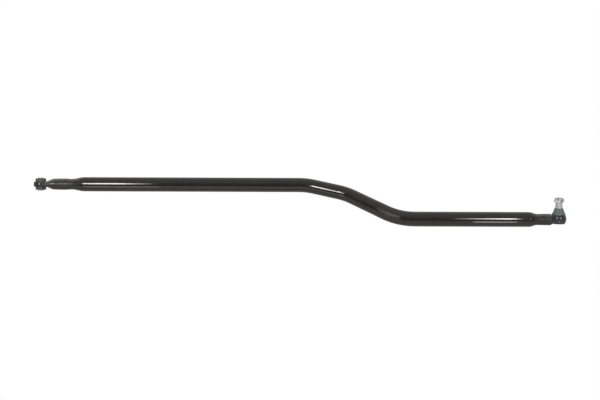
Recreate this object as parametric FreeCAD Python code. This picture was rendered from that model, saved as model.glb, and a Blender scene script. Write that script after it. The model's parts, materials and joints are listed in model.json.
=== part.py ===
import FreeCAD, Part
import math
import os

from FreeCAD import Vector

# Tie rod of a truck: a bent steel tube with a rubber-bushed eye at one end and a
# ball joint at the other. Millimetres, +Z up along the ball stud, +X along the rod.
# The origin is the centre of the bush bore.

# Rod as a whole
rod_length = 1627.0          # bush bore axis to ball stud axis, along X
bend_offset = 159.0          # distance between the axes of the two straight runs
bend_clocking = 53.5         # degrees that the plane of the bends leans from straight down to the front

# Tube
tube_od = 46.0
tube_wall = 5.0
bend_radius = 150.0          # of the tube's axis, the same in all three bends
first_bend_x = 853.0         # where the axes of the runs cross, from the bush bore
second_bend_x = 979.0
third_bend_x = 1137.0
first_step = 42.0            # offset gained between the first and the second bend

# Swaged ends of the tube, gripping the forgings' shanks
shank_d = 22.0
shank_length = 44.0
shank_chamfer = 1.5
shank_clearance = 0.05
socket_od = 34.0             # where the swage begins
socket_mouth_d = 35.2
eye_bulge_d = 36.4
eye_bulge_x = 16.0           # from the socket's mouth
joint_bulge_d = 35.2
joint_bulge_x = 14.0
eye_socket_length = 52.0
eye_swage_length = 44.0
joint_socket_length = 41.0
joint_swage_length = 28.0
socket_mouth_round = 1.0
crimp_rings = 2
crimps_per_ring = 8
crimp_depth = 0.8
crimp_tool_r = 7.0
crimp_spacing = 11.0         # along the tube, from ring to ring
crimp_from_swage = 3.0       # from the swage to the nearest ring
crimp_width = 7.0

# Eye forging
eye_od = 45.0
eye_crown = 1.5              # radius lost from the middle of the ring to its faces
eye_thickness = 17.5
eye_bore_d = 26.0
eye_edge_round = 2.0
eye_neck_width = 34.0
eye_neck_thickness = 19.0
eye_neck_end = 20.0          # from the bore's axis, where the neck starts to grow
eye_cone_end = 39.0
eye_collar_length = 7.0      # between the cone and the tube's mouth

# Rubber bush
sleeve_bore_d = 14.2         # clears an M14 bolt
sleeve_od = 20.0
sleeve_length = 39.6
sleeve_chamfer = 0.8
rubber_flange_d = 33.0
rubber_flange_thickness = 9.4
rubber_round = 2.6
rubber_split_gap = 0.6       # between the two halves, inside the eye
rubber_on_sleeve_clearance = 0.05
rubber_in_eye_clearance = 0.05

# Ball joint housing, heights from the ball's centre
ball_rise = 6.0              # ball's centre above the tube's axis
housing_d = 46.2
housing_widest_z = -1.8
housing_base_d = 38.2
housing_shoulder_d = 40.4
housing_base_z = -19.0
housing_base_edge = 1.0
shoulder_z = 9.5
shoulder_edge = 0.8
deck_z = 12.0
boot_seat_d = 36.0
boot_groove_d = 34.0
boot_groove_height = 1.6
boot_groove_ramp = 0.4       # height of the slope from the groove out to the seat
mouth_d = 28.6
mouth_throat_d = 24.2
mouth_lip_gap = 0.3          # between the bearing and the lip that keeps it in
mouth_lip_thickness = 0.8
housing_neck_d = 33.0        # where it meets the tube's mouth
housing_neck_inner_d = 27.0
tube_mouth_gap = 0.4         # from the head to the tube's mouth

# Ball, its bearing and the cover
ball_d = 26.0
ball_flat_z = -11.0
ball_clearance = 0.05
bearing_wall = 2.0
bearing_top_z = 6.5
bearing_split_z = -0.4
bearing_split_gap = 0.3
bearing_base_z = -13.4
bearing_base_bore_d = 17.0
bearing_seat_clearance = 0.05
spring_gap = 0.05
spring_thickness = 0.8
spring_id = 18.6
spring_od = 29.0
cover_top_z = -15.2
cover_thickness = 2.2
cover_d = 34.0
cover_clearance = 0.05
cover_dish_d = 20.0
cover_dish_depth = 0.8
rolled_rim_d = 30.8
rolled_rim_flare = 0.6

# Ball stud
neck_d = 14.0
neck_top_z = 15.2
land_d = 22.0                # the cone's large end, where the boot seals
land_start_z = 19.8
cone_start_z = 29.6
cone_length = 17.0
cone_ratio = 8.0             # length for each unit of diameter
relief_d = 16.4
relief_length = 1.6
relief_lead = 0.4
thread_lead = 0.8
thread_chamfer = 1.6
stud_past_nut = 1.2
stud_turn = 30.0             # degrees that the pin's hole is turned from straight across the rod

# Castle nut and split pin
thread_d = 18.0
thread_clearance = 0.05
nut_flats = 27.0
nut_bearing_d = 23.8         # of the face that seats, inside the lower chamfer
nut_hex_height = 8.0
nut_crown_height = 5.5
nut_crown_d = 24.4
nut_crown_chamfer = 2.4
nut_slots = 6
nut_slot_width = 4.8
nut_chamfer_angle = 30.0
nut_form_margin = 1.0        # the turned form's reach past the corners
nut_from_cone = 0.2
pin_d = 3.8
pin_hole_d = 4.2
pin_eye_d = 8.6
pin_eye_wire_d = 2.1
pin_reach = 16.0             # from the stud's axis to the start of the eye
pin_bend_r = 2.2             # inside radius where the legs turn
pin_turn_gap = 0.4           # from the crown to where the legs turn
pin_short_leg = 0.4
pin_long_leg = 8.5
pin_leg_gap = 0.1

# Dust boot and its two rings
boot_clearance = 0.15
boot_wall = 2.1
boot_bead_wall = 2.4         # outside the housing's seat
boot_foot_height = 4.2       # from the shoulder to the foot of the cone
boot_foot_round = 1.4
boot_foot_drop = 2.1         # radius lost over the round at the foot
boot_cone_top_d = 28.4
boot_cone_top_z = 24.2
boot_top_z = 28.8
boot_lip_d = 26.6
boot_lip_chamfer = 0.8
boot_chamfer = 0.4
lower_ring_rise = 0.9        # above the shoulder
lower_ring_height = 1.2
lower_ring_thickness = 1.0
lower_ring_proud = 0.1
upper_ring_wire_d = 1.3
upper_ring_play = 0.25
upper_groove_height = 2.3
upper_groove_depth = 1.3
ring_clearance = 0.05

# Worked out
tube_r = tube_od / 2
tube_bore_r = tube_r - tube_wall
socket_r = socket_od / 2
socket_bore_r = shank_d / 2 + shank_clearance
tube_start_x = eye_cone_end + eye_collar_length
boot_base_r = boot_seat_d / 2 + boot_bead_wall
mouth_to_stud = max(housing_d / 2, boot_base_r + lower_ring_proud) + tube_mouth_gap
tube_end_x = rod_length - mouth_to_stud
ball_r = ball_d / 2
socket_sphere_r = ball_r + ball_clearance + bearing_wall + bearing_seat_clearance
lean = math.radians(bend_clocking)
run_shift = Vector(0, -bend_offset * math.sin(lean), -bend_offset * math.cos(lean))
ball_centre = Vector(rod_length, 0, ball_rise) + run_shift
nut_base_z = cone_start_z + cone_length + nut_from_cone
nut_height = nut_hex_height + nut_crown_height
stud_end_z = nut_base_z + nut_height + stud_past_nut
pin_z = nut_base_z + nut_hex_height + nut_crown_height / 2
lower_ring_z = shoulder_z + lower_ring_rise
arc_dip = 1 - math.sqrt(0.5)  # of a round's radius, from the corner in to its middle
X = Vector(1, 0, 0)
Y = Vector(0, 1, 0)
Z = Vector(0, 0, 1)
O = Vector(0, 0, 0)


def outline(points):
    """Closed face in the XZ plane. A point is (x, z), or (x, z, x_mid, z_mid) for an arc to it."""
    edges = []
    last = points[0]
    for point in points[1:] + [points[0][:2]]:
        start = Vector(last[0], 0, last[1])
        end = Vector(point[0], 0, point[1])
        if len(point) == 4:
            edges.append(Part.Arc(start, Vector(point[2], 0, point[3]), end).toShape())
        elif start.distanceToPoint(end) > 1e-6:
            edges.append(Part.LineSegment(start, end).toShape())
        last = point
    return Part.Face(Part.Wire(edges))


def turned(points, axis=Z):
    """Solid of revolution: points are (radius, height) about Z, or (x, radius) about X."""
    return outline(points).revolve(O, axis, 360)


def ring_face(centre, normal, outer_r, inner_r):
    outer = Part.Wire(Part.makeCircle(outer_r, centre, normal))
    inner = Part.Wire(Part.makeCircle(inner_r, centre, normal))
    return Part.Face([outer, inner])


def on_sphere(radius, height):
    return math.sqrt(radius ** 2 - height ** 2)


def sphere_arc(radius, start_z, end_z):
    """Outline point on a sphere at end_z, reached along the sphere from start_z."""
    start_a = math.asin(start_z / radius)
    end_a = math.asin(end_z / radius)
    mid = (start_a + end_a) / 2
    return (on_sphere(radius, end_z), end_z, radius * math.cos(mid), radius * math.sin(mid))


def arc_middle(length, rise):
    """Half-way point of an arc that leaves parallel to its axis and gains rise over length."""
    radius = (length ** 2 + rise ** 2) / (2 * rise)
    angle = math.asin(length / radius) / 2
    return radius * math.sin(angle), radius * (1 - math.cos(angle))


def ogee(x0, r0, x1, r1):
    """Two equal tangent arcs that leave x0 and reach x1 parallel to the axis."""
    half_x, half_r = (x1 - x0) / 2, (r1 - r0) / 2
    dx, dr = arc_middle(half_x, half_r)
    middle = (x0 + half_x, r0 + half_r, x0 + dx, r0 + dr)
    end = (x1, r1, x1 - dx, r1 - dr)
    return [middle, end]


def bent_run():
    """The tube from swage to swage: straight runs and arcs in the plane of the bends."""
    start_x = tube_start_x + eye_socket_length + eye_swage_length
    end_x = tube_end_x - joint_socket_length - joint_swage_length
    corners = [Vector(start_x, 0, 0), Vector(first_bend_x, 0, 0),
               Vector(second_bend_x, 0, -first_step),
               Vector(third_bend_x, 0, -bend_offset), Vector(end_x, 0, -bend_offset)]
    spans = []
    here = corners[0]
    for before, corner, after in zip(corners, corners[1:], corners[2:]):
        along = (corner - before).normalize()
        onward = (after - corner).normalize()
        turn = along.getAngle(onward)
        setback = bend_radius * math.tan(turn / 2)
        entry = corner - along * setback
        spans.append(ring_face(here, along, tube_r, tube_bore_r).extrude(entry - here))
        hinge = along.cross(onward).normalize()
        centre = entry + hinge.cross(along) * bend_radius
        section = ring_face(entry, along, tube_r, tube_bore_r)
        spans.append(section.revolve(centre, hinge, math.degrees(turn)))
        here = corner + onward * setback
    last = corners[-1]
    spans.append(ring_face(here, X, tube_r, tube_bore_r).extrude(last - here))
    return spans


def swaged_end(socket_length, swage_length, bulge_x, bulge_d):
    """Socket and swage along +X from the tube's mouth at x = 0, gripping a shank."""
    full_x = socket_length + swage_length
    mouth_r = socket_mouth_d / 2
    outside = [(0, socket_bore_r), (0, mouth_r - socket_mouth_round),
               (socket_mouth_round, mouth_r),
               (socket_length, socket_r, bulge_x, bulge_d / 2)]
    outside += ogee(socket_length, socket_r, full_x, tube_r)
    bore = [(full_x, tube_bore_r)] + ogee(full_x, tube_bore_r, socket_length, socket_bore_r)
    end = turned(outside + bore, X)
    return end.cut(crimps(socket_length))


def crimps(socket_length):
    """Staggered rings of press marks that lock the socket on the shank."""
    marks = []
    step = 360.0 / crimps_per_ring
    for ring in range(crimp_rings):
        x = socket_length - crimp_from_swage - ring * crimp_spacing
        base = Vector(x, -crimp_width / 2, socket_r + crimp_tool_r - crimp_depth)
        mark = Part.makeCylinder(crimp_tool_r, crimp_width, base, Y)
        for n in range(crimps_per_ring):
            copy = mark.copy()
            copy.rotate(O, X, step * (n + ring / crimp_rings))
            marks.append(copy)
    return Part.makeCompound(marks)


def rod_tube():
    spans = bent_run()
    eye_socket = swaged_end(eye_socket_length, eye_swage_length, eye_bulge_x, eye_bulge_d)
    eye_socket.translate(Vector(tube_start_x, 0, 0))
    joint_socket = swaged_end(joint_socket_length, joint_swage_length, joint_bulge_x, joint_bulge_d)
    joint_socket.rotate(O, Z, 180)
    joint_socket.translate(Vector(tube_end_x, 0, -bend_offset))
    tube = eye_socket.multiFuse(spans + [joint_socket]).removeSplitter()
    tube.rotate(O, X, -bend_clocking)
    return tube


def eye_end():
    """Forged eye: crowned ring, neck that grows to the tube's diameter, collar and shank."""
    sections = []
    for x, width, height in ((eye_od / 4, eye_neck_width, eye_thickness),
                             (eye_neck_end, eye_neck_width, eye_neck_thickness),
                             (eye_cone_end, socket_mouth_d, socket_mouth_d)):
        sections.append(oval(x, width, height))
    neck = Part.makeLoft(sections[:2], True, True)
    cone = Part.makeLoft(sections[1:], True, True)
    shank_end = tube_start_x + shank_length
    collar_r = socket_mouth_d / 2
    stem = turned([(eye_cone_end, 0), (eye_cone_end, collar_r), (tube_start_x, collar_r),
                   (tube_start_x, shank_d / 2), (shank_end - shank_chamfer, shank_d / 2),
                   (shank_end, shank_d / 2 - shank_chamfer), (shank_end, 0)], X)
    body = eye_ring().multiFuse([neck, cone, stem]).removeSplitter()
    bore = Part.makeCylinder(eye_bore_d / 2, eye_od, Vector(0, 0, -eye_od / 2))
    return body.cut(bore)


def eye_ring():
    half, middle_r, edge = eye_thickness / 2, eye_od / 2, eye_edge_round
    rim = middle_r - eye_crown
    corner = edge * arc_dip
    return turned([(0, -half), (rim - edge, -half),
                   (rim, edge - half, rim - corner, corner - half),
                   (rim, half - edge, middle_r, 0),
                   (rim - edge, half, rim - corner, half - corner), (0, half)])


def oval(x, width, height):
    """Upright oval across the rod at x."""
    if abs(width - height) < 1e-6:
        return Part.Wire(Part.makeCircle(width / 2, Vector(x, 0, 0), X))
    if width > height:
        curve = Part.Ellipse(Vector(x, width / 2, 0), Vector(x, 0, height / 2), Vector(x, 0, 0))
    else:
        curve = Part.Ellipse(Vector(x, 0, height / 2), Vector(x, -width / 2, 0), Vector(x, 0, 0))
    return Part.Wire(curve.toShape())


def bush_inner_sleeve():
    half = sleeve_length / 2
    bore, outer, edge = sleeve_bore_d / 2, sleeve_od / 2, sleeve_chamfer
    return turned([(bore, -half), (outer - edge, -half), (outer, -half + edge),
                   (outer, half - edge), (outer - edge, half), (bore, half)])


def bush_rubber(side):
    """One of the two flanged rubber halves, pushed into the eye from above or below."""
    bore = sleeve_od / 2 + rubber_on_sleeve_clearance
    barrel = eye_bore_d / 2 - rubber_in_eye_clearance
    flange = rubber_flange_d / 2
    face = eye_thickness / 2
    top = face + rubber_flange_thickness
    corner = rubber_round * arc_dip
    half = turned([(bore, rubber_split_gap / 2), (barrel, rubber_split_gap / 2), (barrel, face),
                   (flange - rubber_round, face),
                   (flange, face + rubber_round, flange - corner, face + corner),
                   (flange, top - rubber_round),
                   (flange - rubber_round, top, flange - corner, top - corner),
                   (bore, top)])
    if side < 0:
        half.rotate(O, X, 180)
    return half


def joint_housing():
    """Forged head with its shank: a barrel about the ball, open above and below."""
    head = housing_barrel()
    keep = Part.makeBox(rod_length, 2 * housing_d, shoulder_z - shoulder_edge - housing_base_z,
                        Vector(-rod_length, -housing_d, housing_base_z))
    neck = housing_stem().common(keep)
    return head.fuse(neck).cut(housing_cavity()).removeSplitter()


def housing_barrel():
    base_r, barrel_r, shoulder_r = housing_base_d / 2, housing_d / 2, housing_shoulder_d / 2
    seat_r, groove_r = boot_seat_d / 2, boot_groove_d / 2
    groove_top = shoulder_z + boot_groove_height
    return turned([(0, housing_base_z), (base_r - housing_base_edge, housing_base_z),
                   (base_r, housing_base_z + housing_base_edge),
                   (shoulder_r, shoulder_z - shoulder_edge, barrel_r, housing_widest_z),
                   (shoulder_r - shoulder_edge, shoulder_z), (groove_r, shoulder_z),
                   (groove_r, groove_top), (seat_r, groove_top + boot_groove_ramp),
                   (seat_r, deck_z), (0, deck_z)])


def housing_stem():
    """Shank in the tube and the short neck between the tube's mouth and the barrel."""
    shank_start = mouth_to_stud + shank_length
    shank_r = shank_d / 2
    inner_r = housing_neck_inner_d / 2
    stem = turned([(-shank_start, 0), (-shank_start, shank_r - shank_chamfer),
                   (-shank_start + shank_chamfer, shank_r), (-mouth_to_stud, shank_r),
                   (-mouth_to_stud, housing_neck_d / 2), (-mouth_to_stud / 2, inner_r),
                   (0, inner_r), (0, 0)], X)
    stem.translate(Vector(0, 0, -ball_rise))
    return stem


def housing_cavity():
    """Mouth, lip, bearing seat, cover pocket and rolled rim, from the deck down to the base."""
    throat_r, pocket_r, rim_r = mouth_throat_d / 2, cover_d / 2 + cover_clearance, rolled_rim_d / 2
    lip_z = bearing_top_z + bearing_seat_clearance + mouth_lip_gap
    rim_z = cover_top_z - cover_thickness - cover_clearance
    return turned([(0, deck_z), (mouth_d / 2, deck_z), (throat_r, lip_z + mouth_lip_thickness),
                   (throat_r, lip_z), (on_sphere(socket_sphere_r, lip_z), lip_z),
                   sphere_arc(socket_sphere_r, lip_z, 0),
                   (socket_sphere_r, cover_top_z), (pocket_r, cover_top_z),
                   (pocket_r, rim_z), (rim_r, rim_z),
                   (rim_r + rolled_rim_flare, housing_base_z), (0, housing_base_z)])


def upper_bearing_shell():
    inner, outer = ball_r + ball_clearance, socket_sphere_r - bearing_seat_clearance
    return turned([(inner, bearing_split_z), (outer, bearing_split_z), (outer, 0),
                   sphere_arc(outer, 0, bearing_top_z),
                   (on_sphere(inner, bearing_top_z), bearing_top_z),
                   sphere_arc(inner, bearing_top_z, bearing_split_z)])


def lower_bearing_shell():
    inner, outer = ball_r + ball_clearance, socket_sphere_r - bearing_seat_clearance
    top_z = bearing_split_z - bearing_split_gap
    bore_r = bearing_base_bore_d / 2
    bore_z = -on_sphere(inner, bore_r)
    return turned([(outer, top_z), (on_sphere(inner, top_z), top_z),
                   sphere_arc(inner, top_z, bore_z),
                   (bore_r, bearing_base_z), (outer, bearing_base_z)])


def preload_spring():
    """Coned disc spring between the cover and the lower shell."""
    top, base = bearing_base_z - spring_gap, cover_top_z + spring_gap
    inner, outer = spring_id / 2, spring_od / 2
    return turned([(inner, top - spring_thickness), (outer, base), (outer, base + spring_thickness),
                   (inner, top)])


def cover_plate():
    base = cover_top_z - cover_thickness
    dish = cover_dish_d / 2
    return turned([(0, cover_top_z), (cover_d / 2, cover_top_z), (cover_d / 2, base),
                   (dish, base), (dish - cover_dish_depth, base + cover_dish_depth),
                   (0, base + cover_dish_depth)])


def ball_stud():
    """One turned piece: ball, neck, sealing land, cone and thread, with the pin's hole."""
    neck_r, land_r, thread_r = neck_d / 2, land_d / 2, thread_d / 2
    cone_end_z = cone_start_z + cone_length
    cone_end_r = (land_d - cone_length / cone_ratio) / 2
    flare_z, flare_r = arc_middle(land_start_z - neck_top_z, land_r - neck_r)
    stud = turned([(0, ball_flat_z), (on_sphere(ball_r, ball_flat_z), ball_flat_z),
                   sphere_arc(ball_r, ball_flat_z, on_sphere(ball_r, neck_r)),
                   (neck_r, neck_top_z),
                   (land_r, land_start_z, neck_r + flare_r, neck_top_z + flare_z),
                   (land_r, cone_start_z), (cone_end_r, cone_end_z),
                   (relief_d / 2, cone_end_z + relief_lead),
                   (relief_d / 2, cone_end_z + relief_length),
                   (thread_r, cone_end_z + relief_length + thread_lead),
                   (thread_r, stud_end_z - thread_chamfer), (thread_r - thread_chamfer, stud_end_z),
                   (0, stud_end_z)])
    hole = Part.makeCylinder(pin_hole_d / 2, land_d * 2, Vector(0, -land_d, pin_z), Y)
    return stud.cut(hole)


def castle_nut():
    """Hexagon with chamfered corners, and a slotted crown on top."""
    corner_r = nut_flats / math.sqrt(3)
    corners = []
    for n in range(7):
        angle = math.radians(60 * n)
        corners.append(Vector(corner_r * math.cos(angle), corner_r * math.sin(angle), 0))
    blank = Part.Face(Part.makePolygon(corners)).extrude(Vector(0, 0, nut_height))
    slope = math.tan(math.radians(nut_chamfer_angle))
    flat_r, crown_r, past_r = nut_bearing_d / 2, nut_crown_d / 2, corner_r + nut_form_margin
    form = turned([(0, 0), (flat_r, 0), (past_r, (past_r - flat_r) * slope),
                   (past_r, nut_hex_height - (past_r - crown_r) * slope), (crown_r, nut_hex_height),
                   (crown_r, nut_height - nut_crown_chamfer),
                   (crown_r - nut_crown_chamfer, nut_height), (0, nut_height)])
    bore = Part.makeCylinder(thread_d / 2 + thread_clearance, nut_height)
    nut = blank.common(form).cut(bore)
    for n in range(nut_slots // 2):
        slot = Part.makeBox(nut_slot_width, 2 * nut_flats, nut_crown_height,
                            Vector(-nut_slot_width / 2, -nut_flats, nut_hex_height))
        slot.rotate(O, Z, n * 360.0 / nut_slots)
        nut = nut.cut(slot)
    nut.translate(Vector(0, 0, nut_base_z))
    return nut


def half_disc(centre, across, side):
    """Half-round section of one leg, normal to Y, bulging up or down."""
    radius = pin_d / 2
    shift = Z * (side * pin_leg_gap / 2)
    left, right = centre - across * radius + shift, centre + across * radius + shift
    top = centre + Z * (side * radius) + shift
    return Part.Face(Part.Wire([Part.LineSegment(left, right).toShape(),
                                Part.Arc(right, top, left).toShape()]))


def pin_leg(side, tail):
    """Half-round leg through the stud, turned through a right angle behind the nut."""
    turn_y = nut_crown_d / 2 + pin_turn_gap
    shank = half_disc(Vector(0, -pin_reach, 0), X, side).extrude(Vector(0, turn_y + pin_reach, 0))
    section = half_disc(Vector(0, turn_y, 0), X, side)
    centre = Vector(0, turn_y, side * (pin_d / 2 + pin_bend_r))
    bend = section.revolve(centre, X * side, 90)
    end = section.copy()
    end.rotate(centre, X * side, 90)
    return shank.multiFuse([bend, end.extrude(Vector(0, 0, side * tail))])


def split_pin():
    """Folded half-round wire: an eye at the front, and legs spread to both sides at the back."""
    short = pin_leg(1, pin_short_leg)
    long = pin_leg(-1, pin_long_leg)
    wire_r = pin_eye_wire_d / 2
    eye_y = -pin_reach - pin_eye_d / 2 + pin_eye_wire_d
    eye = Part.makeTorus(pin_eye_d / 2 - wire_r, wire_r, Vector(0, eye_y, 0), X)
    pin = short.multiFuse([long, eye]).removeSplitter()
    pin.rotate(O, Y, -90)
    pin.translate(Vector(0, 0, pin_z))
    return pin


def dust_boot():
    """Rubber cone over the joint's mouth, with a bead round the housing and a lip on the stud."""
    gap = boot_clearance
    seat_r, groove_r, lip_r = boot_seat_d / 2 + gap, boot_groove_d / 2 + gap, boot_lip_d / 2
    foot_r, foot_z = boot_base_r - boot_foot_drop, shoulder_z + boot_foot_height
    ring_r = boot_base_r - lower_ring_thickness - ring_clearance
    ring_top = lower_ring_z + lower_ring_height + 2 * ring_clearance
    cone_r, cone_z = boot_cone_top_d / 2, boot_cone_top_z
    groove_top = shoulder_z + boot_groove_height
    bore_r = land_d / 2 + gap
    outside = [(groove_r, shoulder_z + gap), (boot_base_r - boot_chamfer, shoulder_z + gap),
               (boot_base_r, shoulder_z + gap + boot_chamfer),
               (boot_base_r, lower_ring_z), (ring_r, lower_ring_z), (ring_r, ring_top),
               (boot_base_r, ring_top), (boot_base_r, foot_z - boot_foot_round),
               (foot_r, foot_z, boot_base_r - boot_foot_drop * arc_dip,
                foot_z - boot_foot_round * arc_dip),
               (cone_r, cone_z),
               (cone_r, cone_z + upper_groove_height,
                cone_r - upper_groove_depth, cone_z + upper_groove_height / 2),
               (lip_r, boot_top_z - boot_lip_chamfer), (lip_r - boot_lip_chamfer, boot_top_z)]
    inside = [(bore_r, boot_top_z), (bore_r, cone_z - boot_chamfer),
              (cone_r - boot_wall, cone_z - 2 * boot_chamfer),
              (foot_r - boot_wall, foot_z), (seat_r - boot_chamfer, deck_z + gap + boot_chamfer),
              (seat_r, deck_z + gap), (seat_r, groove_top + boot_groove_ramp - gap / 2),
              (groove_r, groove_top - gap)]
    return turned(outside + inside)


def boot_lower_ring():
    inner, outer = boot_base_r - lower_ring_thickness, boot_base_r + lower_ring_proud
    low = lower_ring_z + ring_clearance
    high = low + lower_ring_height
    return turned([(inner, low), (outer, low), (outer, high), (inner, high)])


def boot_upper_ring():
    wire_r = upper_ring_wire_d / 2
    waist_r = boot_cone_top_d / 2 - upper_groove_depth
    middle = Vector(0, 0, boot_cone_top_z + upper_groove_height / 2)
    return Part.makeTorus(waist_r + upper_ring_play + wire_r, wire_r, middle, Z)


def export(name, shape):
    solids = shape.Solids
    result = solids[0] if len(solids) == 1 else Part.makeCompound(solids)
    assert solids and result.isValid(), name
    result.exportStep(os.path.join("parts", name + ".step"))
    print("%-22s solids %d  volume %.0f mm3  faces %d"
          % (name, len(solids), shape.Volume, len(shape.Faces)))


at_bush = {
    "rod_tube": rod_tube(),
    "eye_end": eye_end(),
    "bush_inner_sleeve": bush_inner_sleeve(),
    "bush_rubber_upper": bush_rubber(1),
    "bush_rubber_lower": bush_rubber(-1),
}
at_ball = {
    "joint_housing": joint_housing(),
    "upper_bearing_shell": upper_bearing_shell(),
    "lower_bearing_shell": lower_bearing_shell(),
    "preload_spring": preload_spring(),
    "cover_plate": cover_plate(),
    "ball_stud": ball_stud(),
    "dust_boot": dust_boot(),
    "boot_lower_ring": boot_lower_ring(),
    "boot_upper_ring": boot_upper_ring(),
    "castle_nut": castle_nut(),
    "split_pin": split_pin(),
}

os.makedirs("parts", exist_ok=True)
for name, shape in at_bush.items():
    export(name, shape)
for name, shape in at_ball.items():
    if name in ("ball_stud", "castle_nut", "split_pin"):
        shape.rotate(O, Z, stud_turn)
    shape.translate(ball_centre)
    export(name, shape)
print("ball centre", ball_centre)
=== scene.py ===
import json
import math

import bpy
import bmesh
from mathutils import Matrix, Vector


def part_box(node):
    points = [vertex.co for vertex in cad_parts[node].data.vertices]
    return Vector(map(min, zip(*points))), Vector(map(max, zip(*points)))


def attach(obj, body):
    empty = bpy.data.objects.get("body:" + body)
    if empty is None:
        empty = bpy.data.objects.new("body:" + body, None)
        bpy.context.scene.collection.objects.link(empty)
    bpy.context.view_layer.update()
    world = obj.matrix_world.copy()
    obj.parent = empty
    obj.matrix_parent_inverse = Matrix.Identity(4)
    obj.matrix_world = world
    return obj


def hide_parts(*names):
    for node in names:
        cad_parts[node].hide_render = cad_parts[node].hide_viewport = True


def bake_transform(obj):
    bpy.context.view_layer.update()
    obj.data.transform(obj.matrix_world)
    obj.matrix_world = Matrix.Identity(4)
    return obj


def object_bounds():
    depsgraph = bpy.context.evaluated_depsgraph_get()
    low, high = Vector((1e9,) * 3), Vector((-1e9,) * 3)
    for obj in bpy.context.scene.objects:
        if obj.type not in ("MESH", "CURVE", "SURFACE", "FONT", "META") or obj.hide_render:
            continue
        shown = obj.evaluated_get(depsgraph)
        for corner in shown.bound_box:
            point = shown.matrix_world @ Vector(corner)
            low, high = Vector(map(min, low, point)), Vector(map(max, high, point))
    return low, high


# A tie rod: black tube with an S-bend, a rubber-bushed eye on the left and a ball joint on the
# right. Lengths are in metres.

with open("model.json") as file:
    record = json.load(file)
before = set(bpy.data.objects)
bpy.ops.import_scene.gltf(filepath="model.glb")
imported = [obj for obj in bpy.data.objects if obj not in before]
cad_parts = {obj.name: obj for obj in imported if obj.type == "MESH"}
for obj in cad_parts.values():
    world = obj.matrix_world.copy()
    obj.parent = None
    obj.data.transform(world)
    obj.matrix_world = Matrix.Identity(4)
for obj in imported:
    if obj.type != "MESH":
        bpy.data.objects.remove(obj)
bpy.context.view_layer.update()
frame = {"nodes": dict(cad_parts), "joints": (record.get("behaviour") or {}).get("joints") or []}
nodes = frame["nodes"]
joints = {joint["name"]: joint for joint in frame["joints"]}
BALL = Vector(joints["stud_swing_x"]["pos_m"])

# Photograph: the frame is 600 by 400 pixels, and the places of the two ends in it set the camera
PHOTO_WIDTH = 600
PHOTO_HEIGHT = 400
EYE_PIXEL_X = 40.85
RUN_PIXEL_Y = 185.0
PIXEL_AT_RUN = 0.003214
LENS = 50.0
SENSOR = 36.0
CAMERA_ELEVATION = math.radians(5.0)
CAMERA_ROLL = math.radians(0.21)
CLIP_END = 60.0

# Floor: white, and well below the rod, which is held in the air
FLOOR_DROP = 0.62
FLOOR_SIDE = 15.0
FLOOR_FRONT = 1.5
FLOOR_BACK = 20.0
FLOOR_GREY = (0.86, 0.86, 0.86)

# Room: two softboxes in front of the rod, and their faint images in the table under it. A box is
# a row of strips, and a strip is where it starts and ends along X, and its share of the radiance.
# Each box fades towards the middle of the rod. Its outermost strip, apart from the others, puts
# the small glint on the eye and the streak on the housing.
BOX_RADIANCE = 26.0
BOX_DISTANCE = 2.65
BOX_TALL = 0.75
LEFT_BOX_HEIGHT = 0.62
LEFT_BOX = ((-1.02, -0.62, 0.42), (-0.586, -0.489, 0.85), (-0.489, -0.295, 1.0),
            (-0.295, -0.249, 0.6), (-0.249, -0.191, 0.35), (-0.191, -0.126, 0.17))
RIGHT_BOX_HEIGHT = 0.48
RIGHT_BOX = ((1.79, 1.858, 0.12), (1.858, 1.908, 0.28), (1.908, 1.97, 0.48),
             (1.97, 2.019, 0.62), (2.019, 2.068, 0.84), (2.068, 2.164, 1.02), (2.62, 2.8, 0.6))
IMAGE_DISTANCE = 0.85
IMAGE_HEIGHT = -0.62
IMAGE_TALL = 0.27
LEFT_IMAGE = ((-0.13, 0.204, 0.09), (0.204, 0.5, 0.025), (0.5, 0.85, 0.022))
RIGHT_IMAGE = ((1.545, 1.72, 0.2),)
LAMP_AIM_Y, LAMP_AIM_Z = 0.0, -0.05

# The room without its lamps: a fill on the object, and what shows in its reflections
FILL_BRIGHTNESS = 0.55
FRONT_BRIGHTNESS = (0.22, 0.65)      # low and high in front
FRONT_RISE = (0.25, 0.7)             # heights between which it grows from the one to the other
BEHIND_BRIGHTNESS = 0.8              # over and behind the rod
BEHIND_RISE = (-0.4, 0.1)            # depths between which the front gives way to it

# Dust boot: its places come from the frame, and these are its own sizes
BOOT_GROOVE = 0.00105
BOOT_EDGE = 0.0004
BOOT_FOOT_HEIGHT = 0.00405
BOOT_FOOT_ROUND = 0.0014
BOOT_FOOT_DROP = 0.0021
BOOT_WALL = 0.0021
BOOT_CONE_TOP_R = 0.0142
BOOT_CONE_TOP_DROP = 0.0046
BOOT_WAIST_DEPTH = 0.0013
BOOT_WAIST_HEIGHT = 0.0023
BOOT_LIP_R = 0.0133
BOOT_LIP_EDGE = 0.0008
BOOT_BORE_R = 0.01115
BOOT_SEAT_R = 0.01815
BOOT_SEAT_HEIGHT = 0.0030
BOOT_BULGE = 0.0001
BOOT_SPLIT = 0.45                    # of the cone's height, where the two halves meet
BOOT_ROUND_STEPS = 8
BOOT_CONE_STEPS = 24
BOOT_WAIST_STEPS = 12
BOOT_INSIDE_STEPS = 12
TURN_STEPS = 120
SHARP_ANGLE = math.radians(40)

# Thread of the ball stud
THREAD_PITCH = 0.0015
THREAD_DEPTH = 0.0009
THREAD_FLANK_R = 0.00873             # inside this is the stud's flat end
THREAD_LENGTH = 0.0125               # down from the stud's end

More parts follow.
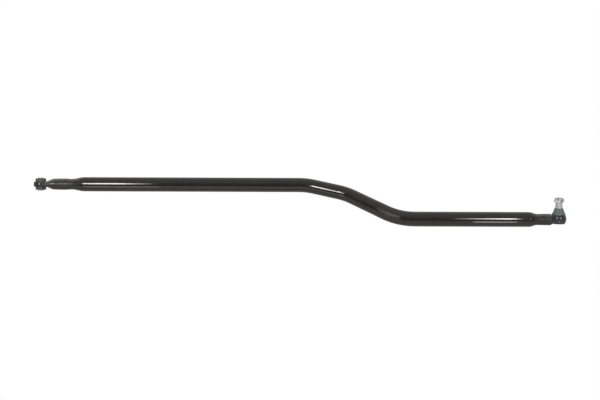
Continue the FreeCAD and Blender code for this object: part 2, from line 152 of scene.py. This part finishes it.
# Split pin: half-round wire, from the long leg's tip round the eye to the short leg's tip
PIN_R = 0.0019
PIN_HALF_GAP = 0.00005
PIN_BELOW_NUT_TOP = 0.00275
PIN_TURN = math.radians(30)
PIN_EYE_START = 0.0126               # from the stud's axis
PIN_EYE_R = 0.0023
PIN_EYE_CENTRE = 0.0032              # out from the eye's start
PIN_THROAT = ((0.0, 0.0005), (0.0004, -0.0003))    # off the gap and inward, from the eye's start
PIN_LEGS_TURN = 0.0123               # from the stud's axis, on the other side
PIN_BEND_R = 0.001
PIN_LONG_LEG = 0.0085
PIN_SHORT_LEG = 0.0008
PIN_ROUND_STEPS = 10
PIN_BEND_STEPS = 8
PIN_EYE_STEPS = 16

# Materials. Tones are a dark and a light colour, and a grain is its features for each metre with
# its depth. Noise is taken over NOISE_RANGE, where nearly all of it lies.
NOISE_RANGE = (0.3, 0.7)
GLOSS_DRIFT = (0.8, 1.25)            # least and most of a roughness over one surface

# Paint
TUBE_R = 0.023
TUBE_ROUGHNESS = 0.06
EYE_ROUGHNESS = 0.17
HOUSING_ROUGHNESS = 0.16
COVER_ROUGHNESS = 0.15
TUBE_TONES = ((0.010, 0.0085, 0.007), (0.016, 0.0142, 0.0118))
EYE_TONES = ((0.008, 0.008, 0.0075), (0.034, 0.034, 0.032))
HOUSING_TONES = ((0.011, 0.014, 0.015), (0.03, 0.035, 0.037))
TUBE_GRAIN = (45, 0.000003)
EYE_GRAIN = (170, 0.00005)
HOUSING_GRAIN = (170, 0.00001)
COVER_GRAIN = (120, 0.00001)
PAINT_TONE_SCALE = 70
PAINT_GLOSS_SCALE = 60

# Dust lies on what faces up. On the eye the same pale colour is also painted light: its top face
# is made paler, as if lit from above.
DUST_AND_PAINTED_LIGHT_COLOR = (0.2, 0.2, 0.19)
DUST_SCALE = 250
DUST_PATCHES = (0.2, 0.9)
DUST_SLOPE = (0.5, 0.95)             # height of the surface's normal, from no dust to all of it
# Twice the dust on the eye: the extra is a painted highlight on its top face, not dust.
EYE_DUST_AND_PAINTED_LIGHT = 2.0
HOUSING_DUST = 1.0

# Ends of the tube, where a duller, mottled skin gives way to the gloss, and one scuffed bend
LEFT_SWAGE = (0.122, 0.136)
RIGHT_SWAGE = (1.537, 1.552)
LEFT_ROUGHNESS = (0.24, 0.5)
RIGHT_ROUGHNESS = (0.45, 0.6)
SWAGE_MOTTLE_SCALE = 110
SWAGE_GRAIN = (140, 0.00008)
SCUFF_MIDDLE = 1.105
SCUFF_HALF = (0.024, 0.044)          # to where it is full, and to where it has faded
SCUFF_ROUGHNESS = 0.42

# Skin of the forgings: a trimmed line of flash in the plane where the dies met
FLASH_HALF = 0.0005
FLASH_RISE = 0.00012
FLASH_RAGGED = (0.4, 1.0)
FLASH_RAGGED_SCALE = 400

# Steel. A finish is a roughness, and the turning marks for each metre along the stud's axis.
STUD_TONES = ((0.39, 0.41, 0.42), (0.53, 0.55, 0.56))
ZINC_TONES = ((0.56, 0.55, 0.54), (0.66, 0.65, 0.64))
WIRE_TONES = ((0.28, 0.29, 0.3), (0.42, 0.43, 0.45))
SLEEVE_TONES = ((0.10, 0.10, 0.10), (0.2, 0.2, 0.2))
STUD_FINISH = (0.6, 4000)
ZINC_FINISH = (0.5, 5000)
WIRE_FINISH = (0.35, 3000)
SLEEVE_FINISH = (0.45, 3000)
STUD_METALLIC = 0.6                  # a film of oil takes off some of the mirror
MARKS_STRETCH = (0.02, 0.02, 1.0)
MARKS_DEPTH = 0.00001
STEEL_GLOSS_SCALE = 300

# Rubber and plastic
BUSH_TONES = ((0.035, 0.035, 0.035), (0.11, 0.11, 0.11))
BOOT_TONES = ((0.083, 0.104, 0.107), (0.13, 0.155, 0.16))
RUBBER_ROUGHNESS = (0.45, 0.65)
RUBBER_TONE_SCALE = 190
RUBBER_GLOSS_SCALE = 200
BUSH_GRAIN = (900, 0.00012)
BOOT_GRAIN = (700, 0.00012)
PLASTIC_TONES = ((0.76, 0.75, 0.71), (0.83, 0.82, 0.78))
PLASTIC_ROUGHNESS = 0.4
PLASTIC_TONE_SCALE = 120
PLASTIC_GRAIN = (700, 0.00002)


def link(obj):
    """Puts an object in the scene."""
    bpy.context.scene.collection.objects.link(obj)
    return obj


def make_camera():
    """Looks along +Y and a little down, with the eye and the left run at their pixels."""
    focal_pixels = LENS / SENSOR * PHOTO_WIDTH
    distance = PIXEL_AT_RUN * focal_pixels
    forward = Vector((0, math.cos(CAMERA_ELEVATION), -math.sin(CAMERA_ELEVATION)))
    up = Vector((0, math.sin(CAMERA_ELEVATION), math.cos(CAMERA_ELEVATION)))
    aim_x = (PHOTO_WIDTH / 2 - EYE_PIXEL_X) * PIXEL_AT_RUN
    below_run = (PHOTO_HEIGHT / 2 - RUN_PIXEL_Y) * PIXEL_AT_RUN
    data = bpy.data.cameras.new("photo_camera")
    data.lens = LENS
    data.sensor_width = SENSOR
    data.clip_end = CLIP_END
    camera = link(bpy.data.objects.new("photo_camera", data))
    place = Vector((aim_x, 0, 0)) - up * below_run - forward * distance
    turn = forward.to_track_quat("-Z", "Y").to_matrix().to_4x4()
    camera.matrix_world = Matrix.Translation(place) @ turn @ Matrix.Rotation(CAMERA_ROLL, 4, "Z")
    bpy.context.scene.camera = camera


def area_light(name, place, size, radiance):
    """A rectangle of light, as wide as its part of X, tilted to face the rod."""
    data = bpy.data.lights.new(name, "AREA")
    data.shape = "RECTANGLE"
    data.size, data.size_y = size
    data.energy = radiance * math.pi * size[0] * size[1]
    lamp = link(bpy.data.objects.new(name, data))
    aim = Vector((0, LAMP_AIM_Y - place[1], LAMP_AIM_Z - place[2])).to_track_quat("-Z", "Y")
    lamp.matrix_world = Matrix.Translation(Vector(place)) @ aim.to_matrix().to_4x4()


def light_box(name, strips, distance, height, tall):
    """One box, as a lamp for each of its strips."""
    for number, (start, end, share) in enumerate(strips):
        place = ((start + end) / 2, -distance, height)
        area_light("%s_%d" % (name, number), place, (end - start, tall), BOX_RADIANCE * share)


def make_lamps():
    light_box("box_left", LEFT_BOX, BOX_DISTANCE, LEFT_BOX_HEIGHT, BOX_TALL)
    light_box("box_right", RIGHT_BOX, BOX_DISTANCE, RIGHT_BOX_HEIGHT, BOX_TALL)
    light_box("image_left", LEFT_IMAGE, IMAGE_DISTANCE, IMAGE_HEIGHT, IMAGE_TALL)
    light_box("image_right", RIGHT_IMAGE, IMAGE_DISTANCE, IMAGE_HEIGHT, IMAGE_TALL)


def make_world():
    """White to the camera, a soft fill on the object, and a room in its reflections."""
    world = bpy.data.worlds.new("studio")
    world.use_nodes = True
    bpy.context.scene.world = world
    tree = world.node_tree
    tree.nodes.clear()
    out = tree.nodes.new("ShaderNodeOutputWorld")
    fill = background(tree, FILL_BRIGHTNESS)
    room = background(tree, room_brightness(tree))
    white = background(tree, 1.0)
    reflected = by_ray(tree, "Is Glossy Ray", fill, room)
    tree.links.new(by_ray(tree, "Is Camera Ray", reflected, white), out.inputs[0])


def background(tree, strength):
    node = tree.nodes.new("ShaderNodeBackground")
    node.inputs["Color"].default_value = (1, 1, 1, 1)
    feed(tree, node.inputs["Strength"], strength)
    return node.outputs[0]


def by_ray(tree, kind, others, these):
    """One shader for rays of a kind, and another for the others."""
    path = tree.nodes.new("ShaderNodeLightPath")
    node = tree.nodes.new("ShaderNodeMixShader")
    tree.links.new(path.outputs[kind], node.inputs[0])
    tree.links.new(others, node.inputs[1])
    tree.links.new(these, node.inputs[2])
    return node.outputs[0]


def room_brightness(tree):
    """Brightness by direction: rises with height in front, and is even from overhead back."""
    direction = tree.nodes.new("ShaderNodeTexCoord")
    parts = tree.nodes.new("ShaderNodeSeparateXYZ")
    tree.links.new(direction.outputs["Generated"], parts.inputs[0])
    front = spread(tree, parts.outputs["Z"], *FRONT_BRIGHTNESS, FRONT_RISE)
    behind = spread(tree, parts.outputs["Y"], 0.0, 1.0, BEHIND_RISE)
    return between(tree, behind, front, BEHIND_BRIGHTNESS)


def make_floor():
    """Ends in front of the rod, because the room is dim there in reflections."""
    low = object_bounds()[0].z - FLOOR_DROP
    mid = (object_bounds()[0].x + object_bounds()[1].x) / 2
    left, right = mid - FLOOR_SIDE, mid + FLOOR_SIDE
    corners = [(left, -FLOOR_FRONT, low), (right, -FLOOR_FRONT, low),
               (right, FLOOR_BACK, low), (left, FLOOR_BACK, low)]
    mesh = bpy.data.meshes.new("floor")
    mesh.from_pydata(corners, [], [(0, 1, 2, 3)])
    floor = link(bpy.data.objects.new("floor", mesh))
    mesh.materials.append(floor_white("floor_white"))


def floor_white(name):
    """Plain white to the camera, and a matt floor to the light."""
    material = bpy.data.materials.new(name)
    material.use_nodes = True
    tree = material.node_tree
    tree.nodes.clear()
    out = tree.nodes.new("ShaderNodeOutputMaterial")
    matt = tree.nodes.new("ShaderNodeBsdfDiffuse")
    matt.inputs["Color"].default_value = (*FLOOR_GREY, 1)
    white = tree.nodes.new("ShaderNodeEmission")
    white.inputs["Color"].default_value = (1, 1, 1, 1)
    white.inputs["Strength"].default_value = 1.0
    shown = by_ray(tree, "Is Camera Ray", matt.outputs[0], white.outputs[0])
    tree.links.new(shown, out.inputs[0])
    return material


def shader(name, color, roughness, metallic=0.0):
    """A material with its Principled shader, ready for noise and bump."""
    material = bpy.data.materials.new(name)
    material.use_nodes = True
    principled = material.node_tree.nodes["Principled BSDF"]
    principled.inputs["Base Color"].default_value = (*color, 1)
    principled.inputs["Roughness"].default_value = roughness
    principled.inputs["Metallic"].default_value = metallic
    return material, material.node_tree, principled


def feed(tree, socket, value):
    """Gives a socket its value: a number, a colour or another socket."""
    if isinstance(value, (int, float)):
        socket.default_value = value
    elif isinstance(value, tuple):
        socket.default_value = (*value, 1)
    else:
        tree.links.new(value, socket)


def calc(tree, operation, *values):
    """One step of arithmetic on values that are sockets or numbers."""
    node = tree.nodes.new("ShaderNodeMath")
    node.operation = operation
    for socket, value in zip(node.inputs, values):
        feed(tree, socket, value)
    return node.outputs[0]


def between(tree, amount, first, second):
    """From the first number to the second by an amount."""
    node = tree.nodes.new("ShaderNodeMix")
    for place, value in ((0, amount), (2, first), (3, second)):
        feed(tree, node.inputs[place], value)
    return node.outputs[0]


def shade(tree, amount, first, second):
    """From the first colour to the second by an amount."""
    node = tree.nodes.new("ShaderNodeMix")
    node.data_type = "RGBA"
    for place, value in ((0, amount), (6, first), (7, second)):
        feed(tree, node.inputs[place], value)
    return node.outputs[2]


def spread(tree, value, low, high, source=NOISE_RANGE):
    """Maps a value from one range to another, and keeps it inside."""
    node = tree.nodes.new("ShaderNodeMapRange")
    node.inputs["From Min"].default_value = source[0]
    node.inputs["From Max"].default_value = source[1]
    node.inputs["To Min"].default_value = low
    node.inputs["To Max"].default_value = high
    tree.links.new(value, node.inputs["Value"])
    return node.outputs[0]


def object_point(tree):
    """The surface's place in the object's own space."""
    return tree.nodes.new("ShaderNodeTexCoord").outputs["Object"]


def from_point(tree, point):
    """X, Y and Z of the surface from a point in the object's own space."""
    move = tree.nodes.new("ShaderNodeVectorMath")
    move.operation = "SUBTRACT"
    tree.links.new(object_point(tree), move.inputs[0])
    move.inputs[1].default_value = point
    parts = tree.nodes.new("ShaderNodeSeparateXYZ")
    tree.links.new(move.outputs[0], parts.inputs[0])
    return parts.outputs


def noise(tree, scale, detail=3.0, stretch=(1, 1, 1)):
    """Noise in the object's own space. Scale is in features for each metre."""
    mapping = tree.nodes.new("ShaderNodeMapping")
    mapping.inputs["Scale"].default_value = stretch
    tree.links.new(object_point(tree), mapping.inputs["Vector"])
    texture = tree.nodes.new("ShaderNodeTexNoise")
    texture.inputs["Scale"].default_value = scale
    texture.inputs["Detail"].default_value = detail
    tree.links.new(mapping.outputs[0], texture.inputs["Vector"])
    return texture.outputs["Fac"]


def bump(tree, principled, height, depth, under=None):
    """Relief of a depth, on top of the relief under it."""
    node = tree.nodes.new("ShaderNodeBump")
    node.inputs["Distance"].default_value = depth
    node.inputs["Strength"].default_value = 1.0
    tree.links.new(height, node.inputs["Height"])
    if under is not None:
        tree.links.new(under, node.inputs["Normal"])
    tree.links.new(node.outputs[0], principled.inputs["Normal"])
    return node.outputs[0]


def tint(tree, principled, value, tones):
    """Base colour between two tones by a noise value."""
    tree.links.new(shade(tree, spread(tree, value, 0, 1), *tones), principled.inputs["Base Color"])


def gloss(tree, principled, roughness, scale):
    """Roughness that drifts over the surface."""
    low, high = (roughness * share for share in GLOSS_DRIFT)
    tree.links.new(spread(tree, noise(tree, scale), low, high), principled.inputs["Roughness"])


def black_paint(name, roughness, grain, tones):
    """Black paint with an even gloss. Its grain is orange peel on tube, or a forging's skin."""
    material, tree, principled = shader(name, tones[1], roughness)
    tint(tree, principled, noise(tree, PAINT_TONE_SCALE, detail=4.0), tones)
    scale, depth = grain
    skin = bump(tree, principled, noise(tree, scale, detail=1.0), depth)
    return material, tree, principled, skin


def cover_paint(name):
    material, tree, principled, _ = black_paint(name, COVER_ROUGHNESS, COVER_GRAIN, TUBE_TONES)
    gloss(tree, principled, COVER_ROUGHNESS, PAINT_GLOSS_SCALE)
    return material


def forged_paint(name, roughness, grain, tones, parting_height, dust_and_painted_light_amount):
    """Black paint over a forging, with its line of trimmed flash at a height."""
    material, tree, principled, skin = black_paint(name, roughness, grain, tones)
    gloss(tree, principled, roughness, PAINT_GLOSS_SCALE)
    # Dust on the upward faces. On the eye this is also a painted highlight on its top face.
    dust_and_painted_light(tree, principled, dust_and_painted_light_amount)
    across = calc(tree, "ABSOLUTE", from_point(tree, (0, 0, parting_height))["Z"])
    line = spread(tree, across, 1.0, 0.0, (0.0, FLASH_HALF))
    ragged = spread(tree, noise(tree, FLASH_RAGGED_SCALE), *FLASH_RAGGED)
    bump(tree, principled, calc(tree, "MULTIPLY", line, ragged), FLASH_RISE, skin)
    return material


def tube_paint(name):
    """Gloss on the drawn tube, and a duller, mottled skin on its swaged and crimped ends."""
    material, tree, principled, skin = black_paint(name, TUBE_ROUGHNESS, TUBE_GRAIN, TUBE_TONES)
    x = from_point(tree, (0, 0, 0))["X"]
    left = spread(tree, x, 1.0, 0.0, LEFT_SWAGE)
    right = spread(tree, x, 0.0, 1.0, RIGHT_SWAGE)
    away = calc(tree, "ABSOLUTE", calc(tree, "SUBTRACT", x, SCUFF_MIDDLE))
    scuffed = spread(tree, away, 1.0, 0.0, SCUFF_HALF)
    mottle = noise(tree, SWAGE_MOTTLE_SCALE, detail=4.0)
    roughness = between(tree, scuffed, TUBE_ROUGHNESS, SCUFF_ROUGHNESS)
    roughness = between(tree, left, roughness, spread(tree, mottle, *LEFT_ROUGHNESS))
    roughness = between(tree, right, roughness, spread(tree, mottle, *RIGHT_ROUGHNESS))
    tree.links.new(roughness, principled.inputs["Roughness"])
    ends = calc(tree, "MAXIMUM", left, right)
    dust_and_painted_light(tree, principled, ends)
    scale, depth = SWAGE_GRAIN
    grain = calc(tree, "MULTIPLY", noise(tree, scale, detail=4.0), ends)
    bump(tree, principled, grain, depth, skin)
    return material


def facing_up(tree):
    """1 on surfaces that face up, and 0 where they lean 60 degrees or more from that."""
    turn = tree.nodes.new("ShaderNodeTexCoord")
    parts = tree.nodes.new("ShaderNodeSeparateXYZ")
    tree.links.new(turn.outputs["Normal"], parts.inputs[0])
    return spread(tree, parts.outputs["Z"], 0.0, 1.0, DUST_SLOPE)


def dust_and_painted_light(tree, principled, where):
    """Pale dust over the base colour of what faces up, by a number or a mask. On the eye it is
    painted light as well: a paler top face that stands in for the light on its top rim.
    """
    under = principled.inputs["Base Color"].links[0].from_socket
    patches = spread(tree, noise(tree, DUST_SCALE, detail=4.0), *DUST_PATCHES)
    amount = calc(tree, "MULTIPLY", calc(tree, "MULTIPLY", facing_up(tree), where), patches)
    tree.links.new(shade(tree, amount, under, DUST_AND_PAINTED_LIGHT_COLOR), principled.inputs["Base Color"])


def machined(name, tones, finish, metallic=1.0):
    """Bright steel with fine turning marks."""
    roughness, rings = finish
    material, tree, principled = shader(name, tones[1], roughness, metallic)
    marks = noise(tree, rings, detail=2.0, stretch=MARKS_STRETCH)
    tint(tree, principled, marks, tones)
    gloss(tree, principled, roughness, STEEL_GLOSS_SCALE)
    skin = bump(tree, principled, marks, MARKS_DEPTH)
    return material, tree, principled, skin


def stud_steel(name):
    """Ground steel with a rolled thread at its upper end."""
    material, tree, principled, skin = machined(name, STUD_TONES, STUD_FINISH, STUD_METALLIC)
    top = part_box("ball_stud")[1].z
    x, y, z = from_point(tree, (BALL.x, BALL.y, top))
    turn = calc(tree, "DIVIDE", calc(tree, "ARCTAN2", y, x), math.tau)
    along = calc(tree, "DIVIDE", z, THREAD_PITCH)
    half_wave = calc(tree, "PINGPONG", calc(tree, "ADD", along, turn), 0.5)
    square = calc(tree, "ADD", calc(tree, "MULTIPLY", x, x), calc(tree, "MULTIPLY", y, y))
    on_side = calc(tree, "GREATER_THAN", calc(tree, "SQRT", square), THREAD_FLANK_R)
    on_thread = calc(tree, "MULTIPLY", on_side, calc(tree, "GREATER_THAN", z, -THREAD_LENGTH))
    groove = calc(tree, "MULTIPLY", calc(tree, "MULTIPLY", half_wave, 2.0), on_thread)
    bump(tree, principled, groove, THREAD_DEPTH, skin)
    return material


def rubber(name, tones, grain):
    """Matt rubber, clouded by handling."""
    low, high = RUBBER_ROUGHNESS
    material, tree, principled = shader(name, tones[0], high)
    tint(tree, principled, noise(tree, RUBBER_TONE_SCALE, detail=5.0), tones)
    dull = spread(tree, noise(tree, RUBBER_GLOSS_SCALE), low, high)
    tree.links.new(dull, principled.inputs["Roughness"])
    scale, depth = grain
    bump(tree, principled, noise(tree, scale, detail=6.0), depth)
    return material


def plastic(name):
    """Natural acetal of the bearing shells."""
    material, tree, principled = shader(name, PLASTIC_TONES[1], PLASTIC_ROUGHNESS)
    tint(tree, principled, noise(tree, PLASTIC_TONE_SCALE), PLASTIC_TONES)
    scale, depth = PLASTIC_GRAIN
    bump(tree, principled, noise(tree, scale), depth)
    return material


def dress(node, material):
    """Gives a node of the CAD model its material."""
    obj = nodes[node]
    obj.data.materials.clear()
    obj.data.materials.append(material)


def steps(count, first=1):
    """Shares of a way at each of its equal steps, up to 1."""
    return [step / count for step in range(first, count + 1)]


def boot_outline():
    """Outer and inner line of the boot from base to lip, as (radius, height)."""
    low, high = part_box("dust_boot")
    ring_low, ring_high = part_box("boot_lower_ring")
    base_r = (high.x - low.x) / 2
    foot_r, foot_z = base_r - BOOT_FOOT_DROP, low.z + BOOT_FOOT_HEIGHT
    cone_z = high.z - BOOT_CONE_TOP_DROP
    narrowing, rise = BOOT_CONE_TOP_R - foot_r, cone_z - foot_z
    outside = [(base_r - BOOT_EDGE, low.z), (base_r, low.z + BOOT_EDGE),
               (base_r, ring_low.z), (base_r - BOOT_GROOVE, ring_low.z),
               (base_r - BOOT_GROOVE, ring_high.z), (base_r, ring_high.z),
               (base_r, foot_z - BOOT_FOOT_ROUND)]
    for part in steps(BOOT_ROUND_STEPS):
        angle = math.radians(90) * part
        outside.append((base_r - BOOT_FOOT_DROP * (1 - math.cos(angle)),
                        foot_z - BOOT_FOOT_ROUND * (1 - math.sin(angle))))
    for part in steps(BOOT_CONE_STEPS):
        bulge = BOOT_BULGE * math.sin(math.pi * part)
        outside.append((foot_r + narrowing * part + bulge, foot_z + rise * part + bulge))
    for part in steps(BOOT_WAIST_STEPS):
        outside.append((BOOT_CONE_TOP_R - BOOT_WAIST_DEPTH * math.sin(math.pi * part),
                        cone_z + BOOT_WAIST_HEIGHT * part))
    outside += [(BOOT_LIP_R, high.z - BOOT_LIP_EDGE), (BOOT_LIP_R - BOOT_LIP_EDGE, high.z)]
    inside = [(BOOT_SEAT_R, low.z), (BOOT_SEAT_R, low.z + BOOT_SEAT_HEIGHT),
              (foot_r - BOOT_WALL, foot_z)]
    for part in steps(BOOT_INSIDE_STEPS):
        inside.append((foot_r - BOOT_WALL + narrowing * part, foot_z + rise * part))
    inside += [(BOOT_BORE_R, cone_z + BOOT_EDGE), (BOOT_BORE_R, high.z)]
    return outside, inside, foot_z, cone_z


def cut_at(line, height, keep_low):
    """The part of a line, rising in height, that lies below or above a height."""
    kept = []
    for here, after in zip(line, line[1:] + [None]):
        below = here[1] <= height
        if below == keep_low:
            kept.append(here)
        if after and below != (after[1] <= height):
            part = (height - here[1]) / (after[1] - here[1])
            kept.append((here[0] + (after[0] - here[0]) * part, height))
    return kept


def wrap(build, rings):
    """Faces from each ring of points to the next."""
    for ring, following in zip(rings, rings[1:]):
        for n in range(len(ring)):
            m = (n + 1) % len(ring)
            build.faces.new((ring[n], following[n], following[m], ring[m]))


def mesh_piece(name, build):
    """An object from a finished bmesh, smooth except at its edges."""
    bmesh.ops.recalc_face_normals(build, faces=build.faces)
    mesh = bpy.data.meshes.new(name)
    build.to_mesh(mesh)
    build.free()
    for face in mesh.polygons:
        face.use_smooth = True
    mesh.set_sharp_from_angle(angle=SHARP_ANGLE)
    return link(bpy.data.objects.new(name, mesh))


def lathe(name, outline, centre):
    """Closed outline of (radius, height) turned about a vertical line through the centre."""
    build = bmesh.new()
    rings = []
    for turn in range(TURN_STEPS):
        angle = math.tau * turn / TURN_STEPS
        rings.append([build.verts.new((centre.x + r * math.cos(angle),
                                       centre.y + r * math.sin(angle), z)) for r, z in outline])
    wrap(build, rings + rings[:1])
    return mesh_piece(name, build)


def make_boot(material):
    """Two halves that meet on the cone, a lower and an upper, each turned about the ball's centre.
    """
    outside, inside, foot_z, cone_z = boot_outline()
    split_z = foot_z + (cone_z - foot_z) * BOOT_SPLIT
    ends = {"lower": (True, "rod", "boot_wall", foot_z - BOOT_FOOT_ROUND, split_z),
            "upper": (False, "boot_wall", "boot_neck", split_z, cone_z)}
    for half, (keep_low, body, next_body, start_z, end_z) in ends.items():
        outline = cut_at(outside, split_z, keep_low) + cut_at(inside, split_z, keep_low)[::-1]
        piece = lathe("dust_boot_" + half, outline, BALL)
        piece.data.materials.append(material)
        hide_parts("dust_boot")
        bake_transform(piece)


def pin_side(leg):
    """Inner line of one half of the pin, from the leg's tip to the far end of the eye."""
    bend = PIN_R + PIN_BEND_R
    line = [(PIN_HALF_GAP + bend + leg, PIN_LEGS_TURN + bend)]
    for part in steps(PIN_BEND_STEPS, 0):
        angle = math.radians(90) * part
        line.append((PIN_HALF_GAP + bend * (1 - math.sin(angle)),
                     PIN_LEGS_TURN + bend * math.cos(angle)))
    line.append((PIN_HALF_GAP, 0.0))
    line += [(PIN_HALF_GAP + off, inward - PIN_EYE_START) for off, inward in PIN_THROAT]
    centre_y = -PIN_EYE_START - PIN_EYE_CENTRE
    touch = math.acos(PIN_EYE_R / PIN_EYE_CENTRE)
    for part in steps(PIN_EYE_STEPS, 0):
        angle = touch + (math.pi - touch) * part
        line.append((PIN_EYE_R * math.sin(angle), centre_y + PIN_EYE_R * math.cos(angle)))
    return line


def pin_ring(build, line, number, height):
    """Half-disc across the line at one of its points, with its flat side on the line."""
    before, after = Vector(line[max(number - 1, 0)]), Vector(line[min(number + 1, len(line) - 1)])
    along = (after - before).normalized()
    outward = Vector((-along.y, along.x))
    ring = []
    for part in steps(PIN_ROUND_STEPS, 0):
        angle = math.pi * (part - 0.5)
        place = Vector(line[number]) + outward * (PIN_R * math.cos(angle))
        flat = Vector((place.x, place.y, 0))
        flat.rotate(Matrix.Rotation(PIN_TURN, 3, "Z"))
        ring.append(build.verts.new((BALL.x + flat.x, BALL.y + flat.y,
                                     height + PIN_R * math.sin(angle))))
    return ring


def make_pin(material):
    """The pin as it is bent on the bench: pushed home, so that its eye lies against the crown."""
    long_side, short_side = pin_side(PIN_LONG_LEG), pin_side(PIN_SHORT_LEG)
    line = long_side + [(-x, y) for x, y in short_side[-2::-1]]
    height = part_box("castle_nut")[1].z - PIN_BELOW_NUT_TOP
    build = bmesh.new()
    rings = [pin_ring(build, line, number, height) for number in range(len(line))]
    wrap(build, rings)
    build.faces.new(rings[0])
    build.faces.new(rings[-1][::-1])
    piece = mesh_piece("split_pin_bent", build)
    piece.data.materials.append(material)
    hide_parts("split_pin")
    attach(piece, "stud")


make_camera()
make_world()
make_floor()
make_lamps()

dress("rod_tube", tube_paint("black_paint_tube"))
dress("cover_plate", cover_paint("black_paint_cover"))
# The eye's paint is made pale on its top face, partly dust and partly a painted highlight from
# above.
dress("eye_end", forged_paint("black_paint_eye", EYE_ROUGHNESS, EYE_GRAIN, EYE_TONES,
                              0.0, EYE_DUST_AND_PAINTED_LIGHT))
run_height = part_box("rod_tube")[0].z + TUBE_R
dress("joint_housing", forged_paint("black_paint_housing", HOUSING_ROUGHNESS, HOUSING_GRAIN,
                                    HOUSING_TONES, run_height, HOUSING_DUST))
bush = rubber("bush_rubber", BUSH_TONES, BUSH_GRAIN)
for name in ("bush_rubber_upper", "bush_rubber_lower"):
    dress(name, bush)
make_boot(rubber("boot_rubber", BOOT_TONES, BOOT_GRAIN))
dress("bush_inner_sleeve", machined("phosphated_steel", SLEEVE_TONES, SLEEVE_FINISH)[0])
dress("ball_stud", stud_steel("stud_steel"))
zinc = machined("zinc_plate", ZINC_TONES, ZINC_FINISH)[0]
dress("castle_nut", zinc)
make_pin(zinc)
wire = machined("spring_steel", WIRE_TONES, WIRE_FINISH)[0]
for name in ("boot_lower_ring", "boot_upper_ring", "preload_spring"):
    dress(name, wire)
acetal = plastic("white_plastic")
for name in ("upper_bearing_shell", "lower_bearing_shell"):
    dress(name, acetal)

bpy.context.scene.view_settings.view_transform = "Standard"
